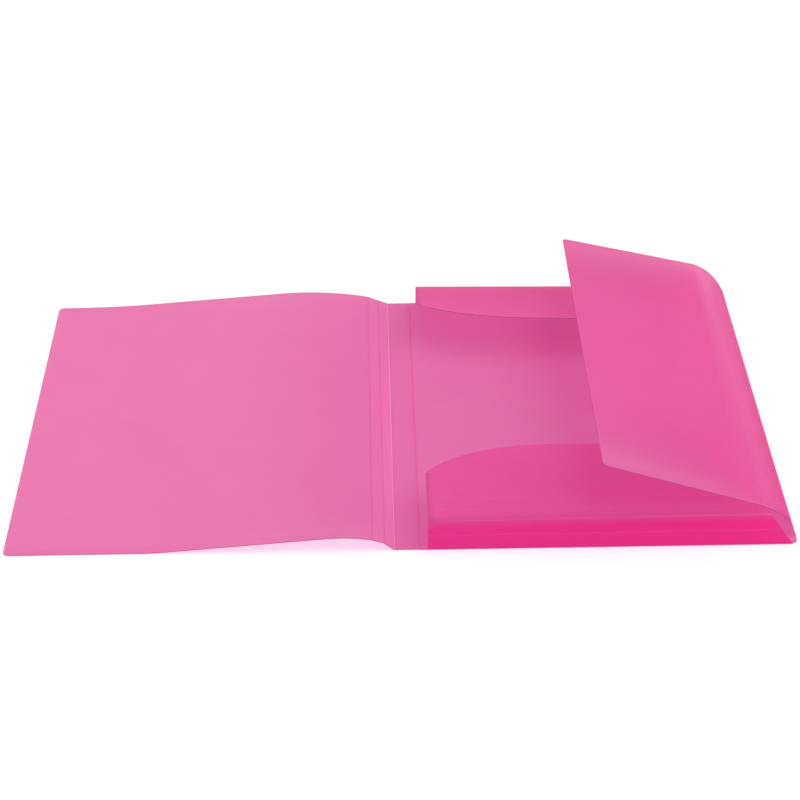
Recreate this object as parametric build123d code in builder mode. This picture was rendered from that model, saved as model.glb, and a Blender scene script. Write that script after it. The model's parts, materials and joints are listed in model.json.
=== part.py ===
"""Three-flap document folder of creased plastic sheet, lying open on a table.

The folder is one die-cut sheet. Pressed creases divide it into panels, and each panel is its own
solid here. Every crease is a line at mid-thickness. The panel nearer to the back cover ends in a
rounded nose on that line, and its neighbour starts a small clearance away from the nose and turns
about it. The pose is the sprung one of an empty folder: the front cover bows up beside the spine,
the bottom and top flaps stand a little open, and the side flap arches over both of them.

Millimetres, +Z up. The origin is the centre of the back cover's underside, +X points from the
spine to the side flap, and +Y points from the bottom flap to the top flap.
"""

import os
from math import atan, cos, degrees, radians, sin, sqrt, tan

from build123d import *

os.makedirs("parts", exist_ok=True)

# Sheet and its creases
sheet_thickness = 0.5
crease_clearance = 0.12
trim_overrun = 1.0

# Back cover
back_width = 232.0
sheet_length = 320.0
back_corner_radius = 5.0

# Spine, the two narrow strips beside it and the front cover, with the fold at each crease in turn
spine_width = 16.0
front_strip_width = 8.0
cover_reach = 225.5
cover_corner_radius = 4.0
front_fold_angles = (0.0, 36.0, -21.0, -5.0)

# Bow of the front cover at its two ends: the shares of its reach that arch over, fall straight and land
bottom_bow_shares = (0.12, 0.44, 0.07)
top_bow_shares = (0.28, 0.42, 0.25)

# Side flap: four narrow strips, then the flap, with the fold at each crease in turn
side_strip_width = 10.5
side_flap_width = 98.0
side_set_in = 7.0
side_corner_radius = 2.0
side_fold_angles = (103.0, 22.0, 18.0, 11.0, 11.5)

# Bottom and top flaps, which share one outline
end_strip_width = 9.5
end_flap_depth = 76.0
end_flap_spine_depth = 47.0
end_flap_curve_run = 79.0
end_flap_slant_run = 31.0
end_flap_corner_radius = 3.0
spine_set_in = 4.5
side_gap = 12.0
bottom_fold_angles = (93.0, 4.0, 70.0, 4.0, 2.5)
top_fold_angles = (106.0, 3.0, 55.0, 4.0, 2.0)

# Worked out from the sizes above
half_thickness = sheet_thickness / 2
crease_reach = half_thickness + crease_clearance
side_length = sheet_length - 2 * side_set_in
end_length = back_width - spine_set_in - side_gap
end_middle = (spine_set_in - side_gap) / 2
strip_names = ("gusset_lower", "gusset_upper", "shoulder_lower", "shoulder_upper", "flap")


def next_panel(panel, width, fold):
    """Plane of the panel past the crease at the given width, turned up by the fold there."""
    return Plane(panel.location * Location((width, 0, 0), (0, -fold, 0)))


def panel_chain(edge, widths, folds):
    """Planes of a row of panels, each with its origin on its crease and X along the sheet."""
    panels = [next_panel(edge, 0, folds[0])]
    for width, fold in zip(widths, folds[1:]):
        panels.append(next_panel(panels[-1], width, fold))
    return panels


def across(panel):
    """Plane square to a panel's crease, for a section of the sheet."""
    return Plane(panel.origin, x_dir=panel.x_dir, z_dir=panel.y_dir)


def finish(solid, label):
    """Name a finished panel and write it."""
    solid.label = label
    export_step(solid, f"parts/{label}.step")


# Planes of all panels, in rows that start at the four edges of the back cover
left_edge = Plane((-back_width / 2, 0, half_thickness), x_dir=(-1, 0, 0), z_dir=(0, 0, 1))
right_edge = Plane((back_width / 2, 0, half_thickness), x_dir=(1, 0, 0), z_dir=(0, 0, 1))
bottom_edge = Plane((end_middle, -sheet_length / 2, half_thickness), x_dir=(0, -1, 0), z_dir=(0, 0, 1))
top_edge = Plane((end_middle, sheet_length / 2, half_thickness), x_dir=(0, 1, 0), z_dir=(0, 0, 1))

front_widths = (spine_width, front_strip_width, front_strip_width)
strips_per_flap = len(strip_names) - 1
front_names = ("spine", "front_strip_inner", "front_strip_outer", "front_cover")
front_panels = dict(zip(front_names, panel_chain(left_edge, front_widths, front_fold_angles)))
side_widths = (side_strip_width,) * strips_per_flap
side_names = [f"side_{name}" for name in strip_names]
side_panels = dict(zip(side_names, panel_chain(right_edge, side_widths, side_fold_angles)))
end_widths = (end_strip_width,) * strips_per_flap
bottom_names = [f"bottom_{name}" for name in strip_names]
bottom_panels = dict(zip(bottom_names, panel_chain(bottom_edge, end_widths, bottom_fold_angles)))
top_names = [f"top_{name}" for name in strip_names]
top_panels = dict(zip(top_names, panel_chain(top_edge, end_widths, top_fold_angles)))


# Back cover: a flat plate with a rounded nose along each of its four creases
with BuildPart() as back_cover:
    with BuildSketch():
        Rectangle(back_width, sheet_length)
        fillet(vertices().group_by(Axis.X)[-1], back_corner_radius)
    extrude(amount=sheet_thickness)
    creases = {
        left_edge: sheet_length,
        right_edge: side_length,
        bottom_edge: end_length,
        top_edge: end_length,
    }
    for edge, length in creases.items():
        with BuildSketch(across(edge)):
            Circle(half_thickness)
        extrude(amount=length / 2, both=True)
finish(back_cover.part, "back_cover")


def sheet_panel(label, panel, width, length, outline=None, has_nose=True):
    """One flat panel of the sheet, cut to an outline if it has one.

    Its section is flat where it starts beside a crease, and rounded on its far crease if it has one.
    """
    with BuildPart() as sheet:
        with BuildSketch(across(panel)):
            with Locations((crease_reach, 0)):
                Rectangle(width - crease_reach, sheet_thickness, align=(Align.MIN, Align.CENTER))
            if has_nose:
                with Locations((width, 0)):
                    Circle(half_thickness)
        extrude(amount=length / 2, both=True)
        if outline:
            extrude(outline, amount=sheet_thickness, both=True, mode=Mode.INTERSECT)
    finish(sheet.part, label)


# Spine and the two strips beside it
for name, width in zip(front_names, front_widths):
    sheet_panel(name, front_panels[name], width, sheet_length)


def bow_section(y, shares):
    """Sketch of the front cover's section at one end of the sheet, X away from its crease.

    The sheet leaves the crease rising, turns over an arched crown, falls straight, then turns up
    through a landing arc to lie flat. shares gives the runs of crown, fall and landing as parts of
    the cover's reach. The fall angle takes the sheet down to the table over those runs: with t for
    the tangent of half that angle, the heights add up to a quadratic in t.
    """
    crease = front_panels["front_cover"]
    crown_run, fall_run, landing_run = (share * cover_reach for share in shares)
    rise_angle = sum(front_fold_angles)
    rise = radians(rise_angle)
    start = Vector(crease_reach * cos(rise), crease_reach * sin(rise))
    height = crease.origin.Z - half_thickness + start.Y
    rise_tangent = tan(rise / 2)
    descent = 2 * fall_run + landing_run
    linear = descent + crown_run - height * rise_tangent
    climb = height + crown_run * rise_tangent
    root = sqrt(linear**2 + 4 * descent * rise_tangent * climb)
    fall = 2 * atan(2 * climb / (linear + root))
    fall_angle = degrees(fall)
    crown_radius = crown_run / (sin(rise) + sin(fall))
    landing_radius = landing_run / sin(fall)
    crown = start + Vector(sin(rise), -cos(rise)) * crown_radius
    fall_start = crown + Vector(sin(fall), cos(fall)) * crown_radius
    drop = crease.origin.Z - half_thickness + fall_start.Y
    fall_length = (drop - landing_radius * (1 - cos(fall))) / sin(fall)
    fall_end = fall_start + Vector(cos(fall), -sin(fall)) * fall_length
    landing = fall_end + Vector(sin(fall), cos(fall)) * landing_radius

    def edge_lines(lift):
        """One face of the sheet, lifted off its middle, and the two ends of that line."""
        over = CenterArc(crown, crown_radius + lift, 90 + rise_angle, -rise_angle - fall_angle)
        under = CenterArc(landing, landing_radius - lift, -90 - fall_angle, fall_angle)
        Line(over @ 1, under @ 0)
        flat = Line(under @ 1, (cover_reach, (under @ 1).Y))
        return over @ 0, flat @ 1

    section_plane = Plane((crease.origin.X, y, crease.origin.Z), x_dir=(-1, 0, 0), z_dir=(0, 1, 0))
    with BuildSketch(section_plane) as section:
        with BuildLine():
            upper_start, upper_end = edge_lines(half_thickness)
            lower_start, lower_end = edge_lines(-half_thickness)
            Line(upper_start, lower_start)
            Line(upper_end, lower_end)
        make_face()
    return section.sketch


# Front cover: the sheet bows more widely at its top end than at its bottom end
bottom_bow = bow_section(-sheet_length / 2, bottom_bow_shares)
top_bow = bow_section(sheet_length / 2, top_bow_shares)
cover_crease = front_panels["front_cover"].origin
with BuildSketch(Plane.XY) as cover_outline:
    with Locations((cover_crease.X, 0)):
        Rectangle(cover_reach, sheet_length, align=(Align.MAX, Align.CENTER))
    fillet(vertices().group_by(Axis.X)[0], cover_corner_radius)
with BuildPart() as front_cover:
    loft([bottom_bow, top_bow], ruled=True)
    extrude(cover_outline.sketch, amount=sheet_length, mode=Mode.INTERSECT)
finish(front_cover.part, "front_cover")


# Side flap: four strips that share its bend, then a plain flap with rounded free corners
for name, width in zip(side_names, side_widths):
    sheet_panel(name, side_panels[name], width, side_length)
with BuildSketch(side_panels["side_flap"]) as side_outline:
    Rectangle(side_flap_width, side_length, align=(Align.MIN, Align.CENTER))
    fillet(vertices().group_by(Axis.X)[-1], side_corner_radius)
sheet_panel(
    "side_flap", side_panels["side_flap"], side_flap_width, side_length, side_outline.sketch, False
)


def end_flap_outline(panel, start, spine_side):
    """Sketch of a whole bottom or top flap past its main crease, laid on one of its panels.

    The spine side rises straight, then an arc reaches the full depth. The far side slants in, so
    that it slips under the side flap. start is how far along the flap the panel begins, and
    spine_side is -1 or 1, the end of the crease where the spine is.
    """
    spine_end = spine_side * end_length / 2
    side_end = -spine_end
    lay = Plane(panel.location * Location((-start, 0, 0)))
    curve_drop = end_flap_depth - end_flap_spine_depth
    curve_radius = (end_flap_curve_run**2 + curve_drop**2) / (2 * curve_drop)
    spine_corner = (end_flap_spine_depth, spine_end)
    curve_end = (end_flap_depth, spine_end - spine_side * end_flap_curve_run)
    side_corner = (end_flap_depth, side_end + spine_side * end_flap_slant_run)
    with BuildSketch(lay) as outline:
        with BuildLine():
            RadiusArc(spine_corner, curve_end, spine_side * curve_radius)
            Polyline(
                curve_end,
                side_corner,
                (0, side_end),
                (-trim_overrun, side_end),
                (-trim_overrun, spine_end),
                spine_corner,
            )
        make_face()
        fillet(vertices().sort_by_distance(side_corner)[0], end_flap_corner_radius)
    return outline.sketch


# Bottom and top flaps: a gusset of two strips, two shoulder strips, then the flap itself
for names, panels, spine_side in ((bottom_names, bottom_panels, -1), (top_names, top_panels, 1)):
    for name in names[:2]:
        sheet_panel(name, panels[name], end_strip_width, end_length)
    for place, name in enumerate(names[2:]):
        start = place * end_strip_width
        is_flap = name == names[-1]
        width = end_flap_depth - start if is_flap else end_strip_width
        outline = end_flap_outline(panels[name], start, spine_side)
        sheet_panel(name, panels[name], width, end_length, outline, not is_flap)
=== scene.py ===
"""Looks of a three-flap document folder made of one frosted pink sheet.

Every panel of the sheet is a closed shell worked out with numpy. A row of panels starts at an edge
of the back cover, and the sheet's heading along the row is the sum of the folds at its creases,
each eased across the width of its crease. The running integral of that heading is the sheet's
section, so the sheet keeps its length however it bends. All lengths are metres, in the frame of
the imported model.
"""

import json
from math import radians

import bpy
import numpy as np
from bpy.props import FloatProperty, FloatVectorProperty, PointerProperty
from bpy.types import Operator, Panel, PropertyGroup
from mathutils import Matrix, Vector


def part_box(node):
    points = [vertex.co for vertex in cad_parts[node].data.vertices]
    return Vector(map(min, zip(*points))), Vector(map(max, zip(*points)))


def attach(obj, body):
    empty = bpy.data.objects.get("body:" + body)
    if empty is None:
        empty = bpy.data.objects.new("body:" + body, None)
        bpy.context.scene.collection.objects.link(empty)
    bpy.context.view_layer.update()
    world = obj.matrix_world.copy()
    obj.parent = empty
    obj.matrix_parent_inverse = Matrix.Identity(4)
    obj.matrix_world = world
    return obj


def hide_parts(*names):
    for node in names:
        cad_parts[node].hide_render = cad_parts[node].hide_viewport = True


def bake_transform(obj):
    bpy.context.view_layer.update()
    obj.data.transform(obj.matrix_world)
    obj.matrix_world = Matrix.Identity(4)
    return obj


bl_info = {
    "name": "Three-flap document folder",
    "version": (1, 0, 0),
    "blender": (4, 5, 0),
    "location": "View3D > Sidebar > Folder",
    "description": "Frosted sheet, creases, flaps and studio of a document folder",
    "category": "Object",
}

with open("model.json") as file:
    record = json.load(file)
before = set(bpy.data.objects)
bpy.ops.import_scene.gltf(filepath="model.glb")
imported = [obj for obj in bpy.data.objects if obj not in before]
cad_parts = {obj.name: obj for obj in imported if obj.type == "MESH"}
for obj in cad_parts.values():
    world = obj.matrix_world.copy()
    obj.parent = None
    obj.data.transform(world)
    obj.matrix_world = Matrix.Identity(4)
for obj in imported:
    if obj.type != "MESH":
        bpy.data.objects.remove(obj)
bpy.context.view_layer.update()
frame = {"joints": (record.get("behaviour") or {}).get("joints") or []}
JOINTS = {joint["child"]: joint for joint in frame["joints"]}
BACK_LOW, BACK_HIGH = (np.array(corner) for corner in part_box("back_cover"))
MM = 0.001

# Grids: step of a section's table, steps along a panel, points across a table and across a panel
ROW_STEP = 0.1 * MM
PANEL_STEP = 3 * MM
LEAST_STEP = 0.04 * MM
TABLE_COLUMNS = 41
COLUMNS = 40

# Points across a pressed crease, a soft bend, a rounded corner and the curve of an end flap
CREASE_POINTS = 17
BEND_POINTS = 21
CORNER_POINTS = 9
CURVE_POINTS = 48

# Room between the edge of the back cover and the first panel of a row, and the angle of a sharp edge
HINGE_GAP = 0.1 * MM
SHARP_ANGLE = 50

# Back cover: rounding of its corners beside the side flap, and how much deeper painted shade makes its
# colour, for the shade of the flaps over it
BACK_CORNER = 5 * MM
BACK_PAINTED_SHADE = 0.2

# Front cover: place, folds in degrees at the bottom and the top end, and tone of each crease; a
# positive tone makes a crease paler, a negative one is painted shade in the crease
FRONT_NODES = ("spine", "front_strip_inner", "front_strip_outer", "front_cover")
FRONT_CREASES = ((16 * MM, 37, 22, 1.0), (24 * MM, -19, 0, -0.2), (32 * MM, -8, -11.5, -0.2))
FRONT_HALF_LENGTH = 160 * MM
FRONT_WIDTH = 258.5 * MM
COVER_REACH = 225.5 * MM
COVER_CORNER = 4 * MM
# Painted shade on the spine and the bowed cover, for the light they lack where they lift off the
# floor: where it ends, how softly, how deep
FRONT_PAINTED_SHADE = (75 * MM, 65 * MM, 0.24)
BOTTOM_BOW_SHARES = (0.12, 0.44, 0.07)
TOP_BOW_SHARES = (0.28, 0.42, 0.25)

# Side flap: folds in degrees at its bottom and its top end, and how much wider it is at the top end
FLAP_STRIPS = ("gusset_lower", "gusset_upper", "shoulder_lower", "shoulder_upper", "flap")
SIDE_BOTTOM_FOLDS = (109, 26, 16, 11, 0.5)
SIDE_TOP_FOLDS = (104.5, 15.5, 13, 17, 17)
SIDE_TONE = 0.15
SIDE_HALF_LENGTH = 153 * MM
SIDE_STRIP = 10.5 * MM
SIDE_WIDTH = 139.5 * MM
SIDE_SLANT = 4 * MM
SIDE_CORNER = 3 * MM
SIDE_ZONE = 3 * MM
# Painted shade on the gusset strips, a purer and deeper colour for the dim pink light in the pocket:
# where it ends, how softly, how deep
SIDE_PAINTED_SHADE = (17 * MM, 10 * MM, 1.0)

# Bottom and top flaps: folds in degrees at their spine end and at their side end, and their way in Y
END_FOLDS = {
    "bottom": ((93, 4, 72, 4, 2.5), (103, 6, 62, 4, 2.5), -1.0),
    "top": ((111, 3, 49, 4, 2), (119, 6, 41, 4, 2), 1.0),
}
END_TONES = (0.0, 0.3, 0.5, 0.25, 0.2)
END_HALF_LENGTH = 107.75 * MM
END_STRIP = 9.5 * MM
END_WIDTH = 95 * MM
END_BEND = 1.6 * MM
END_ZONE = 1.2 * MM
END_CORNER = 3 * MM
GUSSET_WIDTH = 19 * MM
# Painted shade on the gusset strips, a purer and deeper colour for the dim pink light in the pocket:
# where it ends, how softly, how deep
END_PAINTED_SHADE = (GUSSET_WIDTH, 6 * MM, 1.0)

# Outline of the bottom and top flaps: gusset, depth past it, curve on the spine side, slant
GUSSET_OVERHANG = 9 * MM
GUSSET_TAPER = 14 * MM
FLAP_DEPTH = 76 * MM
SPINE_SIDE_DEPTH = 47 * MM
CURVE_RUN = 79 * MM
CURVE_HALF_AXIS = 85 * MM
SLANT_RUN = 26 * MM

# Colours past the plain one: pure and dull tones, paleness of a pale crease, and the cut edge
# The pure tone is painted shade in the gussets; the dull one is painted shade on the back cover, the
# bow and dark creases
PURE_SHARES = (1.3, 0.30, 0.82)
DULL_SHARES = (0.93, 0.84, 0.90)
DULL_STOP = 0.38
EDGE_BODY_SHARES = (0.72, 0.55, 0.75)
EDGE_GLOW_SHARES = (0.65, 0.55, 0.70)
PALE_BODY = 0.25
PALE_GLOW = 0.4

# Surface of the sheet: refraction, drift of its tone, grain, and scuffs of its cut edge
SHEET_IOR = 1.49
CLOUD_SCALE = 26.0
TONE_DRIFT = 0.04
ROUGH_DRIFT = 0.04
GRAIN_BUMP = 0.12
GRAIN_HEIGHT = 0.05 * MM
SCUFF_SCALE = 900.0
SCUFF_ROUGHNESS = (0.3, 0.5)

# Camera, fitted to the photograph: place, then heading, pitch and roll in degrees
CAMERA_PLACE = (-0.144, -1.300, 0.780)
CAMERA_TURN = (0.81, 30.56, -0.45)
SENSOR_WIDTH = 36

# Stage: floor, just under the sheet, then the place, target and size of each light panel
FLOOR_REACH = 6.0
FLOOR_HEIGHT = -0.3 * MM
LAMP_SPREAD = 60
LAMP_TILT = (3, 36, 0)
LEFT_PANEL = ((-0.56, 2.13, 1.28), (-0.27, 0, 0), (0.5, 0.7))
RIGHT_PANEL = ((0.80, 1.60, 0.26), (0.11, 0, 0.04), (0.7, 0.16))


class FolderSheetSettings(PropertyGroup):
    """Sizes of the sheet itself and of the creases pressed into it."""

    thickness: FloatProperty(
        name="Thickness", description="Thickness of the sheet", default=0.5 * MM, unit="LENGTH"
    )
    edge_round: FloatProperty(
        name="Edge rounding", description="Size of the soft edge left by the cutting die",
        default=0.08 * MM, unit="LENGTH",
    )
    crease_depth: FloatProperty(
        name="Crease depth", description="How deep a crease is pressed into each side",
        default=0.1 * MM, unit="LENGTH",
    )
    crease_width: FloatProperty(
        name="Crease width", description="Half the width of a pressed crease",
        default=0.32 * MM, unit="LENGTH",
    )
    arch_width: FloatProperty(
        name="Arch width", description="Half the width over which a soft bend turns",
        default=5.0 * MM, unit="LENGTH",
    )


class FolderFinishSettings(PropertyGroup):
    """Colours of the frosted sheet."""

    body_colour: FloatVectorProperty(
        name="Body colour", description="Colour of the light that the sheet sends back",
        default=(1.0, 0.17, 0.63), subtype="COLOR", size=3, min=0, max=1,
    )
    glow_colour: FloatVectorProperty(
        name="Glow colour", description="Colour of the light that passes through the sheet",
        default=(0.94, 0.385, 0.51), subtype="COLOR", size=3, min=0, max=1,
    )
    shade_colour: FloatVectorProperty(
        name="Shade colour", description="Colour of the light that falls through the sheet",
        default=(0.76, 0.58, 0.70), subtype="COLOR", size=3, min=0, max=1,
    )
    glow: FloatProperty(
        name="Glow", description="Share of light that passes through instead of turning back",
        default=0.70, min=0, max=1, subtype="FACTOR",
    )
    roughness: FloatProperty(
        name="Roughness", description="Roughness of the frosted face",
        default=0.34, min=0, max=1, subtype="FACTOR",
    )
    gloss: FloatProperty(
        name="Gloss", description="Strength of the sheet's surface reflection",
        default=0.25, min=0, max=1, subtype="FACTOR",
    )
    grain_size: FloatProperty(
        name="Grain size", description="Size of the fine embossed grain",
        default=0.35 * MM, unit="LENGTH",
    )


class FolderStageSettings(PropertyGroup):
    """Floor, light and camera of the studio."""

    floor_level: FloatProperty(
        name="Floor level", description="Share of light that the floor sends back up",
        default=0.78, min=0, max=1, subtype="FACTOR",
    )
    sky_strength: FloatProperty(
        name="Sky strength", description="Even light from all round", default=0.28, min=0
    )
    lamp_strength: FloatProperty(
        name="Lamp strength", description="Soft light from above", default=2.85, min=0
    )
    panel_power: FloatProperty(
        name="Panel power", description="Power of the light panel behind the front cover",
        default=2.0, min=0, subtype="POWER", unit="POWER",
    )
    strip_power: FloatProperty(
        name="Strip power", description="Power of the light strip behind the side flap",
        default=2.0, min=0, subtype="POWER", unit="POWER",
    )
    lens: FloatProperty(
        name="Lens", description="Focal length of the camera, in millimetres", default=101.1
    )


def eased(x):
    """Smooth step: 0 below -1 and 1 above 1, and 1/2 + 3x/4 - x^3/4 between them."""
    x = np.clip(x, -1.0, 1.0)
    return 0.5 + 0.75 * x - 0.25 * x**3


def running_integral(values):
    """Integral of values from the first row to each row, by the trapezium rule."""
    steps = 0.5 * (values[1:] + values[:-1]) * ROW_STEP
    return np.concatenate([np.zeros_like(values[:1]), np.cumsum(steps, axis=0)])


class SheetRow:
    """A row of panels that runs outwards from one edge of the back cover.

    origin lies on the row's first crease, outward points away from the back cover and along lies
    on the crease. The table holds the sheet's section at several places along the crease. zone is
    half the width of the band at a crease where one panel's motion gives way to the next one's.
    pressed says where the part of the row under painted shade ends, how softly, and how much
    deeper the painted shade makes its colour.
    """

    def __init__(self, origin, outward, along, half_length, length, zone=MM):
        self.origin = np.array(origin, float)
        self.outward = np.array(outward, float)
        self.along = np.array(along, float)
        self.s = np.arange(0.0, length + ROW_STEP, ROW_STEP)
        self.v = np.linspace(-half_length, half_length, TABLE_COLUMNS)
        self.heading = np.zeros((len(self.s), len(self.v)))
        self.zone = zone
        self.creases = []
        self.tones = []
        # pressed holds the row's painted shade: where it ends, how softly and how deep; none by
        # default
        self.pressed = (-1.0, MM, 0.0)

    def between(self, low, high):
        """A value that goes evenly from low at the start of the crease to high at its end."""
        share = (self.v - self.v[0]) / (self.v[-1] - self.v[0])
        return low + (high - low) * share

    def fold(self, place, width, low, high, tone=0.0):
        """Turns the sheet at one crease, by low degrees at the start of it and high at its end."""
        turn = np.radians(self.between(low, high))
        if place > 0:
            self.heading += eased((self.s - place) / width)[:, None] * turn
            self.creases.append(place)
            self.tones.append(tone)
        else:
            self.heading += turn

    def settle(self):
        """Works out the section from the heading: distance out and height are its integrals."""
        self.out = running_integral(np.cos(self.heading))
        self.height = running_integral(np.sin(self.heading))

    def look_up(self, table, s, v):
        """Value of a table at distances s along the sheet and v along the crease, bilinearly."""
        row = np.clip(s / ROW_STEP, 0, len(self.s) - 1.001)
        column = (v - self.v[0]) / (self.v[-1] - self.v[0]) * (len(self.v) - 1)
        column = np.clip(column, 0, len(self.v) - 1.001)
        i, j = row.astype(int), column.astype(int)
        a, b = row - i, column - j
        near = table[i, j] * (1 - b) + table[i, j + 1] * b
        far = table[i + 1, j] * (1 - b) + table[i + 1, j + 1] * b
        return near * (1 - a) + far * a

    def place(self, s, v, lift):
        """Points of the sheet, lifted off its middle along the sheet's own normal."""
        out = self.look_up(self.out, s, v)
        height = self.look_up(self.height, s, v)
        heading = self.look_up(self.heading, s, v)
        out = out - lift * np.sin(heading)
        height = height + lift * np.cos(heading)
        up = np.array((0.0, 0.0, 1.0))
        return (
            self.origin
            + out[..., None] * self.outward
            + v[..., None] * self.along
            + height[..., None] * up
        )

    def crease_span(self, crease):
        """Start and end of the step across a crease, square to the line that the crease follows."""
        s = crease + np.array((-self.zone, self.zone, 0.0, 0.0))
        v = np.array((0.0, 0.0, self.v[0], self.v[-1]))
        before, after, first, last = self.place(s, v, np.zeros(4))
        line = (last - first) / np.linalg.norm(last - first)
        step = after - before
        return tuple(before), tuple(before + step - line * np.dot(step, line))

    def crease_mark(self, s, width):
        """How deep in a crease each place is, and how dark or pale the crease and the painted shade
        make it look there.

        The depth is the sum of exp(-(d / width)^2) over the creases, and the tone is the same sum
        with each crease weighed by its own tone, less the painted shade up to the end of the row's
        shaded part.
        """
        end, softness, deeper = self.pressed
        depth, tone = np.zeros_like(s), -deeper * eased((end - s) / softness)
        for crease, weight in zip(self.creases, self.tones):
            mark = np.exp(-(((s - crease) / width) ** 2))
            depth += mark
            tone += weight * mark
        return depth, tone


def panel_places(row, start, end, settings, extra):
    """Places along the sheet for one panel: even steps, and close ones at every crease."""
    coarse = np.linspace(start, end, max(4, int((end - start) / PANEL_STEP) + 1))
    mark, bend = 4 * settings.crease_width, settings.arch_width
    fine = [np.linspace(crease - mark, crease + mark, CREASE_POINTS) for crease in row.creases]
    soft = [np.linspace(crease - bend, crease + bend, BEND_POINTS) for crease in row.creases]
    places = np.concatenate([coarse, *fine, *soft, np.array(extra, float)])
    places = np.unique(np.round(places[(places >= start) & (places <= end)], 6))
    keep = np.concatenate([[True], np.diff(places) > LEAST_STEP])
    places = places[keep]
    places[-1] = end
    return places


def rounded_end(end, radius):
    """Places close to a free end, spaced evenly round its corner, and the inset at any place."""
    turn = np.linspace(0, np.pi / 2, CORNER_POINTS)
    places = end - radius * (1 - np.sin(turn))

    def inset(s):
        """Inset r - sqrt(r^2 - (r - d)^2) at distance d from the end, inside the corner only."""
        short = np.clip(radius - (end - s), 0, radius)
        return radius - np.sqrt(radius**2 - short**2)

    return places, inset


def around(rows, columns):
    """Indices of the outer loop of a grid of points, once round."""
    grid = np.arange(rows * columns).reshape(rows, columns)
    return np.concatenate([grid[0, :-1], grid[:-1, -1], grid[-1, :0:-1], grid[:0:-1, 0]])


def strip_faces(first, second):
    """Quads between two closed loops of as many points."""
    return np.stack([first, np.roll(first, -1), np.roll(second, -1), second], axis=1)


def panel_shell(row, s, low, high, settings, free_end, slant):
    """Points, quads, tones of creases and painted shade, and material slots of a panel as a closed
    shell.

    A point's parameters are s along the sheet and u across it, with v = low(s) + u (high - low).
    The panel is longer at its end than at its start by the slant, shared out evenly along it.
    Both faces are that grid lifted by half the thickness, less the depth of the creases there. The
    rim joins them over two loops, drawn in at the faces by the rounding of the cut edge. Slot 1 is
    for the cut edges, and an edge that lies at a crease keeps slot 0.
    """
    half = settings.thickness / 2
    soft = settings.edge_round
    u = np.linspace(0, 1, COLUMNS)
    share = (s - s[0]) / (s[-1] - s[0])
    places = s[:, None] + slant * share[:, None] * (u[None, :] - 0.5)
    across = low[:, None] + u[None, :] * (high - low)[:, None]
    depth, tone = row.crease_mark(places, settings.crease_width)
    lift = half - settings.crease_depth * depth
    inner_places, inner_across = places.copy(), across.copy()
    inner_across[:, 0] += soft
    inner_across[:, -1] -= soft
    if free_end:
        inner_places[-1] -= soft
    loop = around(*places.shape)
    rim_s, rim_v = places.ravel()[loop], across.ravel()[loop]
    rim_lift = lift.ravel()[loop] - soft
    count = places.size
    points = np.concatenate([
        row.place(inner_places, inner_across, lift).reshape(-1, 3),
        row.place(inner_places, inner_across, -lift).reshape(-1, 3),
        row.place(rim_s, rim_v, rim_lift),
        row.place(rim_s, rim_v, -rim_lift),
    ])
    tones = np.concatenate([tone.ravel(), tone.ravel(), tone.ravel()[loop], tone.ravel()[loop]])
    corner = (np.arange(len(s) - 1)[:, None] * COLUMNS + np.arange(COLUMNS - 1)).ravel()
    upper = np.stack([corner, corner + 1, corner + COLUMNS + 1, corner + COLUMNS], axis=1)
    lower = upper[:, ::-1] + count
    upper_rim = 2 * count + np.arange(len(loop))
    lower_rim = upper_rim + len(loop)
    rim = np.concatenate([
        strip_faces(upper_rim, loop),
        strip_faces(lower_rim, upper_rim),
        strip_faces(loop + count, lower_rim),
    ])
    cut = np.ones(len(loop), np.int32)
    cut[:COLUMNS - 1] = 0
    if not free_end:
        last = COLUMNS + len(s) - 2
        cut[last:last + COLUMNS - 1] = 0
    slots = np.concatenate([np.zeros(len(upper) + len(lower), np.int32), cut, cut, cut])
    return points, np.concatenate([upper, lower, rim]), tones, slots


def make_piece(name, points, quads, tones, slots, material, edge_material):
    """Mesh object of a shell, with its tones of creases and painted shade, and its cut edges in their
    own finish.
    """
    mesh = bpy.data.meshes.new(name)
    mesh.from_pydata(points.tolist(), [], quads.tolist())
    attribute = mesh.attributes.new("crease_and_painted_shade_tone", "FLOAT", "POINT")
    attribute.data.foreach_set("value", tones.astype(np.float32))
    mesh.materials.append(material)
    mesh.materials.append(edge_material)
    mesh.polygons.foreach_set("material_index", slots)
    if signed_volume(points, quads) < 0:
        mesh.flip_normals()
    mesh.shade_smooth()
    mesh.set_sharp_from_angle(angle=radians(SHARP_ANGLE))
    mesh.update()
    piece = bpy.data.objects.new(name, mesh)
    bpy.context.scene.collection.objects.link(piece)
    return piece


def signed_volume(points, quads):
    """Volume inside a closed shell, a sixth of the sum of a . (b x c) over its triangles."""
    corners = points[quads]
    first = np.cross(corners[:, 1], corners[:, 2])
    second = np.cross(corners[:, 2], corners[:, 3])
    return float(np.sum(corners[:, 0] * (first + second)) / 6)


def dress_panel(row, node, start, end, insets, places, scene, free=True, slant=0.0):
    """Builds one panel of a row, and hangs it on its body when no crease starts it.

    The panel starts just before its own crease, where it still follows the panel before it, and
    ends just before the next crease, so the sheet stays whole as it turns. insets are functions of
    s for how far in its two sides lie, and places are those that a free end needs.
    """
    settings = scene.folder_sheet
    s = panel_places(row, start, end, settings, places)
    low, high = row.v[0] + insets[0](s), row.v[-1] - insets[1](s)
    shell = panel_shell(row, s, low, high, settings, free, slant if free else 0.0)
    piece = make_piece(f"sheet_{node}", *shell, *sheet_materials(scene))
    crease = next((c for c in row.creases if start <= c <= start + 1.5 * row.zone), None)
    if crease is None:
        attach(piece, node)
    else:
        start, end = row.crease_span(crease)
        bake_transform(piece)
    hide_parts(node)


def dress_row(row, nodes, width, insets, places, scene, slant=0.0):
    """All panels of a row, each from just before its crease to just before the next."""
    starts = [HINGE_GAP, *(crease - row.zone for crease in row.creases)]
    for node, start, end in zip(nodes, starts, [*starts[1:], width]):
        dress_panel(row, node, start, end, insets, places, scene, node == nodes[-1], slant)


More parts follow.
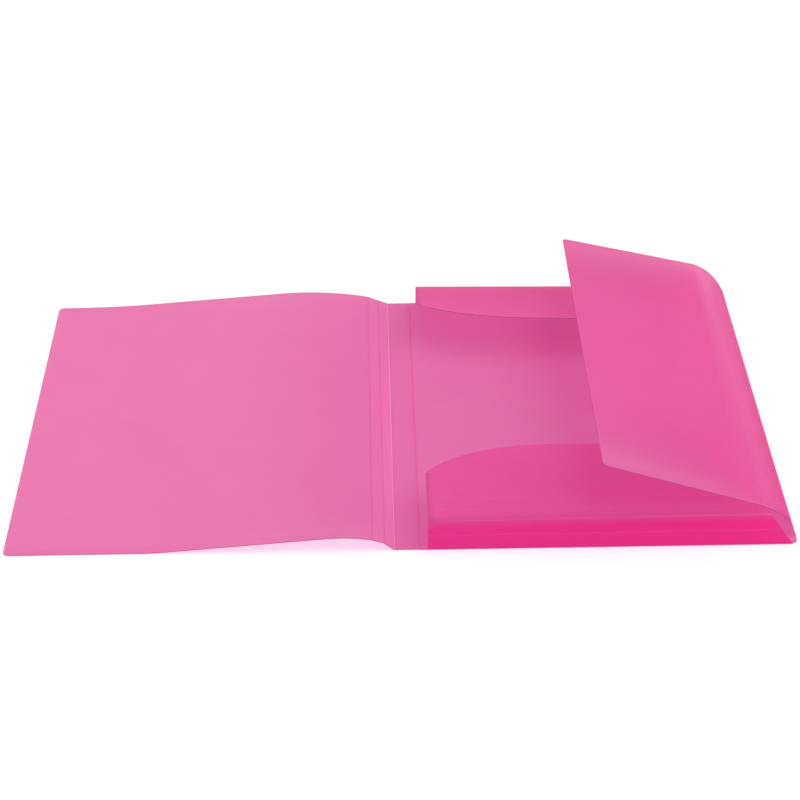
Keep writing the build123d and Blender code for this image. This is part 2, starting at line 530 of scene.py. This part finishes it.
def new_material(name):
    """An empty node material and its output."""
    material = bpy.data.materials.new(name)
    material.use_nodes = True
    tree = material.node_tree
    tree.nodes.clear()
    return material, tree, tree.nodes.new("ShaderNodeOutputMaterial")


def add_node(tree, kind, inputs=None, **values):
    """A node with its plain values set and its sockets linked or filled."""
    node = tree.nodes.new(kind)
    for key, value in values.items():
        setattr(node, key, value)
    for key, value in (inputs or {}).items():
        if isinstance(value, bpy.types.NodeSocket):
            tree.links.new(value, node.inputs[key])
        else:
            node.inputs[key].default_value = value
    return node


def toned(tree, colour, tone, pale):
    """Colour that goes duller, then purer where the tone falls to 0, and paler where it rises to 1."""
    plain = np.array(colour)
    ramp = add_node(tree, "ShaderNodeValToRGB", {"Fac": tone})
    stops = ramp.color_ramp.elements
    # The pure stop is painted shade in the gussets, the dull stop painted shade on the back cover, the
    # bow and dark creases
    stops[0].color = (*np.minimum(plain * PURE_SHARES, 1), 1)
    stops[1].color = (*(plain + (1 - plain) * pale), 1)
    stops.new(0.5).color = (*plain, 1)
    stops.new(DULL_STOP).color = (*(plain * DULL_SHARES), 1)
    return ramp.outputs["Color"]


def plastic(tree, output, finish, body, glow, rough, normal=None):
    """Translucent plastic that scatters once for each pass through the sheet.

    A little light turns back in the body colour, and most goes on in the glow colour. A ray that is
    already inside the sheet leaves it freely. Light on its way to something below comes straight
    through in the shade colour.
    """
    skin = add_node(
        tree, "ShaderNodeBsdfPrincipled",
        {"Base Color": body, "Roughness": rough, "IOR": SHEET_IOR, "Specular IOR Level": finish.gloss},
    )
    through = add_node(tree, "ShaderNodeBsdfTranslucent", {"Color": glow})
    if normal:
        tree.links.new(normal, skin.inputs["Normal"])
        tree.links.new(normal, through.inputs["Normal"])
    sheet = add_node(
        tree, "ShaderNodeMixShader", {0: finish.glow, 1: skin.outputs[0], 2: through.outputs[0]}
    ).outputs[0]
    rays = add_node(tree, "ShaderNodeLightPath").outputs
    dim = np.array(finish.body_colour) * (1 - finish.glow)
    matte = add_node(tree, "ShaderNodeBsdfDiffuse", {"Color": (*dim, 1)}).outputs[0]
    shade = add_node(
        tree, "ShaderNodeBsdfTransparent", {"Color": (*finish.shade_colour, 1)}
    ).outputs[0]
    under = add_node(tree, "ShaderNodeAddShader", {0: matte, 1: shade}).outputs[0]
    from_below = add_node(
        tree, "ShaderNodeMath", {0: rays["Is Diffuse Ray"], 1: rays["Is Transmission Ray"]},
        operation="SUBTRACT", use_clamp=True,
    ).outputs[0]
    face = add_node(tree, "ShaderNodeMixShader", {0: from_below, 1: sheet, 2: under}).outputs[0]
    lit = add_node(
        tree, "ShaderNodeMixShader", {0: rays["Is Shadow Ray"], 1: face, 2: shade}
    ).outputs[0]
    leaving = add_node(tree, "ShaderNodeNewGeometry").outputs["Backfacing"]
    clear = add_node(tree, "ShaderNodeBsdfTransparent").outputs[0]
    whole = add_node(tree, "ShaderNodeMixShader", {0: leaving, 1: lit, 2: clear}).outputs[0]
    tree.links.new(whole, output.inputs["Surface"])


def frosted_sheet(finish):
    """Faces of the sheet: frosted, with a fine embossed grain and pressed creases.

    The grain is a fine noise bump. A slow noise, the crease marks and the painted shade shift the tone
    of the colour.
    """
    material, tree, output = new_material("frosted_pink_sheet")
    place = add_node(tree, "ShaderNodeTexCoord").outputs["Object"]
    grain = add_node(
        tree, "ShaderNodeTexNoise",
        {"Vector": place, "Scale": 1 / finish.grain_size, "Detail": 2.0, "Roughness": 0.6},
    ).outputs["Fac"]
    cloud = add_node(
        tree, "ShaderNodeTexNoise",
        {"Vector": place, "Scale": CLOUD_SCALE, "Detail": 3.0, "Roughness": 0.5},
    ).outputs["Fac"]
    drift = add_node(
        tree, "ShaderNodeMapRange",
        {"Value": cloud, "To Min": 0.5 - TONE_DRIFT, "To Max": 0.5 + TONE_DRIFT},
    ).outputs["Result"]
    # Tones of the creases and of the painted shade
    crease = add_node(tree, "ShaderNodeAttribute", attribute_name="crease_and_painted_shade_tone").outputs["Fac"]
    tone = add_node(
        tree, "ShaderNodeMath", {0: crease, 1: 0.5, 2: drift}, operation="MULTIPLY_ADD"
    ).outputs[0]
    rough = add_node(
        tree, "ShaderNodeMapRange",
        {"Value": grain, "From Min": 0.3, "From Max": 0.7,
         "To Min": finish.roughness - ROUGH_DRIFT, "To Max": finish.roughness + ROUGH_DRIFT},
    ).outputs["Result"]
    bump = add_node(
        tree, "ShaderNodeBump",
        {"Strength": GRAIN_BUMP, "Distance": GRAIN_HEIGHT, "Height": grain},
    ).outputs["Normal"]
    body = toned(tree, finish.body_colour, tone, PALE_BODY)
    glow = toned(tree, finish.glow_colour, tone, PALE_GLOW)
    plastic(tree, output, finish, body, glow, rough, bump)
    return material


def cut_edge(finish):
    """Cut edge of the sheet: the same plastic, deeper in colour because light is trapped in it."""
    material, tree, output = new_material("cut_sheet_edge")
    place = add_node(tree, "ShaderNodeTexCoord").outputs["Object"]
    scuff = add_node(
        tree, "ShaderNodeTexNoise", {"Vector": place, "Scale": SCUFF_SCALE, "Detail": 2.0}
    ).outputs["Fac"]
    smooth, scuffed = SCUFF_ROUGHNESS
    rough = add_node(
        tree, "ShaderNodeMapRange", {"Value": scuff, "To Min": smooth, "To Max": scuffed}
    ).outputs["Result"]
    body = (*(np.array(finish.body_colour) * EDGE_BODY_SHARES), 1)
    glow = (*(np.array(finish.glow_colour) * EDGE_GLOW_SHARES), 1)
    plastic(tree, output, finish, body, glow, rough)
    return material


def seen_rays(tree):
    """1 for rays that show the background: from the camera, off a gloss or straight through glass."""
    rays = add_node(tree, "ShaderNodeLightPath").outputs
    clear = add_node(
        tree, "ShaderNodeMath", {0: rays["Is Transmission Ray"], 1: rays["Is Diffuse Ray"]},
        operation="SUBTRACT", use_clamp=True,
    ).outputs[0]
    seen = add_node(
        tree, "ShaderNodeMath", {0: rays["Is Camera Ray"], 1: rays["Is Glossy Ray"]},
        operation="MAXIMUM",
    ).outputs[0]
    return add_node(tree, "ShaderNodeMath", {0: seen, 1: clear}, operation="MAXIMUM").outputs[0]


def sheet_materials(scene):
    """The sheet's two finishes, made once."""
    made = [bpy.data.materials.get(n) for n in ("frosted_pink_sheet", "cut_sheet_edge")]
    if None in made:
        finish = scene.folder_finish
        made = [frosted_sheet(finish), cut_edge(finish)]
    return made


def bow_cover(row, start, low_shares, high_shares, reach):
    """Heading of the bowed cover past its crease: an arched crown, a straight fall, a landing.

    The runs of the three are shares of the reach. With t for the tangent of half the fall angle
    and r for that of half the rise, the heights add up to (2c + b) r t^2 + (2c + b + a - h r) t =
    h + a r, for runs a, c and b and a start at height h. The heading falls evenly over the crown,
    stays, and rises evenly to nothing over the landing.
    """
    begin = int(round(start / ROW_STEP))
    rise = row.heading[begin]
    height = running_integral(np.sin(row.heading))[begin]
    crown = row.between(low_shares[0], high_shares[0]) * reach
    fall_run = row.between(low_shares[1], high_shares[1]) * reach
    landing = row.between(low_shares[2], high_shares[2]) * reach
    slope = np.tan(rise / 2)
    descent = 2 * fall_run + landing
    linear = descent + crown - height * slope
    climb = height + crown * slope
    root = np.sqrt(linear**2 + 4 * descent * slope * climb)
    fall = 2 * np.arctan(2 * climb / (linear + root))
    crown_radius = crown / (np.sin(rise) + np.sin(fall))
    landing_radius = landing / np.sin(fall)
    drop = height + crown_radius * (np.cos(fall) - np.cos(rise))
    straight = (drop - landing_radius * (1 - np.cos(fall))) / np.sin(fall)
    s = (row.s - start)[:, None]
    crown_length = crown_radius * (rise + fall)
    over = rise - s / crown_radius
    landed = (s - crown_length - straight) / landing_radius - fall
    bow = np.where(s < crown_length, np.maximum(over, -fall), np.clip(landed, -fall, 0))
    row.heading = np.where(s > 0, bow, row.heading)


def end_flap_outline():
    """Places that the outline of a bottom or top flap needs, and the insets of its two sides."""
    drop = FLAP_DEPTH - SPINE_SIDE_DEPTH
    tall = drop / (1 - np.sqrt(1 - (CURVE_RUN / CURVE_HALF_AXIS) ** 2))
    sweep = np.linspace(0, np.arcsin(CURVE_RUN / CURVE_HALF_AXIS), CURVE_POINTS)
    corner, corner_inset = rounded_end(END_WIDTH, END_CORNER)
    places = np.concatenate([END_WIDTH - tall * (1 - np.cos(sweep)), corner])

    def spine_inset(s):
        """Inset of the spine side: none up to its corner, then along an ellipse to the edge.

        At depth d below the edge the ellipse is w sqrt(1 - (1 - d / t)^2) from its own axis.
        """
        short = np.clip(END_WIDTH - s, 0, drop)
        reach = CURVE_HALF_AXIS * np.sqrt(np.maximum(1 - (1 - short / tall) ** 2, 0))
        return np.where(s - GUSSET_WIDTH <= SPINE_SIDE_DEPTH, 0.0, CURVE_RUN - reach)

    def side_inset(s):
        """Inset of the far side: a taper up the gusset, then an even slant, and its corner."""
        taper = np.clip(s / GUSSET_WIDTH, 0, 1) * GUSSET_TAPER - GUSSET_OVERHANG
        slant = np.clip((s - GUSSET_WIDTH) / FLAP_DEPTH, 0, 1) * SLANT_RUN
        return taper + slant + corner_inset(s)

    return places, (spine_inset, side_inset)


class FOLDER_OT_back_cover(Operator):
    """Flat back cover, with rounded corners on the side flap's edge"""

    bl_idname = "folder.back_cover"
    bl_label = "Back cover"

    def execute(self, context):
        scene = context.scene
        width = BACK_HIGH[0] - BACK_LOW[0]
        half_length = (BACK_HIGH[1] - BACK_LOW[1]) / 2
        origin = (BACK_LOW[0], 0, scene.folder_sheet.thickness / 2)
        row = SheetRow(origin, (1, 0, 0), (0, 1, 0), half_length, width)
        # Painted shade over the whole back cover, for the shade of the flaps above it
        row.pressed = (width, MM, BACK_PAINTED_SHADE)
        row.settle()
        places, inset = rounded_end(width, BACK_CORNER)
        dress_panel(row, "back_cover", 0.0, width, (inset, inset), places, scene)
        return {"FINISHED"}


class FOLDER_OT_front_cover(Operator):
    """Spine, the two strips beside it and the bowed front cover"""

    bl_idname = "folder.front_cover"
    bl_label = "Front cover"

    def execute(self, context):
        scene = context.scene
        bend = 2 * scene.folder_sheet.crease_width
        origin = JOINTS["spine"]["pos_m"]
        row = SheetRow(origin, (-1, 0, 0), (0, 1, 0), FRONT_HALF_LENGTH, FRONT_WIDTH, bend)
        for place, low, high, tone in FRONT_CREASES:
            row.fold(place, bend, low, high, tone)
        bow_cover(row, row.creases[-1] + bend, BOTTOM_BOW_SHARES, TOP_BOW_SHARES, COVER_REACH)
        # Painted shade on the spine and the bow, where the cover lifts off the floor
        row.pressed = FRONT_PAINTED_SHADE
        row.settle()
        places, inset = rounded_end(FRONT_WIDTH, COVER_CORNER)
        dress_row(row, FRONT_NODES, FRONT_WIDTH, (inset, inset), places, scene)
        return {"FINISHED"}


class FOLDER_OT_side_flap(Operator):
    """Side flap: gusset, shoulder and flap, arched a little higher at its far end"""

    bl_idname = "folder.side_flap"
    bl_label = "Side flap"

    def execute(self, context):
        scene = context.scene
        arch = scene.folder_sheet.arch_width
        origin = JOINTS["side_gusset_lower"]["pos_m"]
        widest = SIDE_WIDTH + SIDE_SLANT / 2
        row = SheetRow(origin, (1, 0, 0), (0, 1, 0), SIDE_HALF_LENGTH, widest, SIDE_ZONE)
        for place, (low, high) in enumerate(zip(SIDE_BOTTOM_FOLDS, SIDE_TOP_FOLDS)):
            row.fold(place * SIDE_STRIP, arch, low, high, SIDE_TONE)
        # Painted shade on the side gusset strips, for the dim pink light in the pocket
        row.pressed = SIDE_PAINTED_SHADE
        row.settle()
        nodes = [f"side_{name}" for name in FLAP_STRIPS]
        places, inset = rounded_end(SIDE_WIDTH, SIDE_CORNER)
        dress_row(row, nodes, SIDE_WIDTH, (inset, inset), places, scene, SIDE_SLANT)
        return {"FINISHED"}


class FOLDER_OT_end_flaps(Operator):
    """Bottom and top flaps, with a curve on the spine side and a slant on the other"""

    bl_idname = "folder.end_flaps"
    bl_label = "Bottom and top flaps"

    def execute(self, context):
        places, insets = end_flap_outline()
        for side, (spine_folds, side_folds, out) in END_FOLDS.items():
            nodes = [f"{side}_{name}" for name in FLAP_STRIPS]
            origin = JOINTS[nodes[0]]["pos_m"]
            row = SheetRow(origin, (0, out, 0), (1, 0, 0), END_HALF_LENGTH, END_WIDTH, END_ZONE)
            for place, (low, high, tone) in enumerate(zip(spine_folds, side_folds, END_TONES)):
                row.fold(place * END_STRIP, END_BEND, low, high, tone)
            # Painted shade on the end gusset strips, for the dim pink light in the pocket
            row.pressed = END_PAINTED_SHADE
            row.settle()
            dress_row(row, nodes, END_WIDTH, insets, places, context.scene)
        return {"FINISHED"}


class FOLDER_OT_stage(Operator):
    """White floor, even sky, a soft lamp, two light panels behind and the camera"""

    bl_idname = "folder.stage"
    bl_label = "Stage"

    def execute(self, context):
        scene = context.scene
        stage = scene.folder_stage
        mesh = bpy.data.meshes.new("floor")
        corners = [(x * FLOOR_REACH, y * FLOOR_REACH, FLOOR_HEIGHT)
                   for x, y in ((-1, -1), (1, -1), (1, 1), (-1, 1))]
        mesh.from_pydata(corners, [], [(0, 1, 2, 3)])
        material, tree, output = new_material("white_floor")
        colour = add_node(
            tree, "ShaderNodeMapRange",
            {"Value": seen_rays(tree), "To Min": stage.floor_level, "To Max": 1.0},
        ).outputs["Result"]
        paint = add_node(tree, "ShaderNodeBsdfDiffuse", {"Color": colour}).outputs["BSDF"]
        tree.links.new(paint, output.inputs["Surface"])
        mesh.materials.append(material)
        floor = bpy.data.objects.new("floor", mesh)
        scene.collection.objects.link(floor)
        self.light(scene, stage)
        self.aim(scene, stage)
        scene.view_settings.view_transform = "Standard"
        return {"FINISHED"}

    def light(self, scene, stage):
        """Even sky that shows as white, a wide sun from the right, and a panel behind each half."""
        world = bpy.data.worlds.new("studio")
        world.use_nodes = True
        tree = world.node_tree
        tree.nodes.clear()
        strength = add_node(
            tree, "ShaderNodeMapRange",
            {"Value": seen_rays(tree), "To Min": stage.sky_strength, "To Max": 1.0},
        ).outputs["Result"]
        sky = add_node(
            tree, "ShaderNodeBackground", {"Color": (1, 1, 1, 1), "Strength": strength}
        ).outputs[0]
        output = tree.nodes.new("ShaderNodeOutputWorld")
        tree.links.new(sky, output.inputs["Surface"])
        scene.world = world
        lamp = bpy.data.lights.new("soft_overhead", "SUN")
        lamp.energy = stage.lamp_strength
        lamp.angle = radians(LAMP_SPREAD)
        holder = bpy.data.objects.new("soft_overhead", lamp)
        holder.rotation_euler = [radians(angle) for angle in LAMP_TILT]
        scene.collection.objects.link(holder)
        self.panel(scene, "left_panel", *LEFT_PANEL, stage.panel_power)
        self.panel(scene, "right_panel", *RIGHT_PANEL, stage.strip_power)

    def panel(self, scene, name, place, target, size, power):
        """A flat light panel at one place, turned to face another."""
        data = bpy.data.lights.new(name, "AREA")
        data.shape = "RECTANGLE"
        data.size, data.size_y = size
        data.energy = power
        holder = bpy.data.objects.new(name, data)
        turn = (Vector(target) - Vector(place)).to_track_quat("-Z", "Y").to_matrix().to_4x4()
        holder.matrix_world = Matrix.Translation(Vector(place)) @ turn
        scene.collection.objects.link(holder)

    def aim(self, scene, stage):
        """Camera at the photograph's place, turned by its heading, pitch and roll."""
        yaw, pitch, roll = np.radians(CAMERA_TURN)
        look = np.array([np.sin(yaw) * np.cos(pitch), np.cos(yaw) * np.cos(pitch), -np.sin(pitch)])
        right = np.array([np.cos(yaw), -np.sin(yaw), 0.0])
        up = np.cross(right, look)
        side = np.cos(roll) * right + np.sin(roll) * up
        top = -np.sin(roll) * right + np.cos(roll) * up
        data = bpy.data.cameras.new("camera")
        data.lens = stage.lens
        data.sensor_width = SENSOR_WIDTH
        data.sensor_fit = "HORIZONTAL"
        data.clip_end = 50
        camera = bpy.data.objects.new("camera", data)
        turn = np.eye(4)
        turn[:3, 0], turn[:3, 1], turn[:3, 2] = side, top, -look
        turn[:3, 3] = CAMERA_PLACE
        camera.matrix_world = Matrix(turn.tolist())
        scene.collection.objects.link(camera)
        scene.camera = camera


class FOLDER_PT_panel(Panel):
    """Sidebar panel with the folder's settings and pieces"""

    bl_idname = "FOLDER_PT_panel"
    bl_label = "Document folder"
    bl_space_type = "VIEW_3D"
    bl_region_type = "UI"
    bl_category = "Folder"

    def draw(self, context):
        for group in ("folder_sheet", "folder_finish", "folder_stage"):
            settings = getattr(context.scene, group)
            box = self.layout.box()
            for key in settings.__annotations__:
                box.prop(settings, key)
        for operator in OPERATORS:
            self.layout.operator(operator.bl_idname)


OPERATORS = (
    FOLDER_OT_back_cover,
    FOLDER_OT_front_cover,
    FOLDER_OT_side_flap,
    FOLDER_OT_end_flaps,
    FOLDER_OT_stage,
)
CLASSES = (
    FolderSheetSettings,
    FolderFinishSettings,
    FolderStageSettings,
    *OPERATORS,
    FOLDER_PT_panel,
)


def register():
    """Registers the classes and hangs the settings on the scene."""
    for item in CLASSES:
        bpy.utils.register_class(item)
    bpy.types.Scene.folder_sheet = PointerProperty(type=FolderSheetSettings)
    bpy.types.Scene.folder_finish = PointerProperty(type=FolderFinishSettings)
    bpy.types.Scene.folder_stage = PointerProperty(type=FolderStageSettings)


def unregister():
    """Takes the settings and the classes away again."""
    del bpy.types.Scene.folder_stage
    del bpy.types.Scene.folder_finish
    del bpy.types.Scene.folder_sheet
    for item in reversed(CLASSES):
        bpy.utils.unregister_class(item)


def main():
    """Builds the folder and its stage."""
    register()
    bpy.ops.folder.back_cover()
    bpy.ops.folder.front_cover()
    bpy.ops.folder.side_flap()
    bpy.ops.folder.end_flaps()
    bpy.ops.folder.stage()


if __name__ == "__main__":
    main()
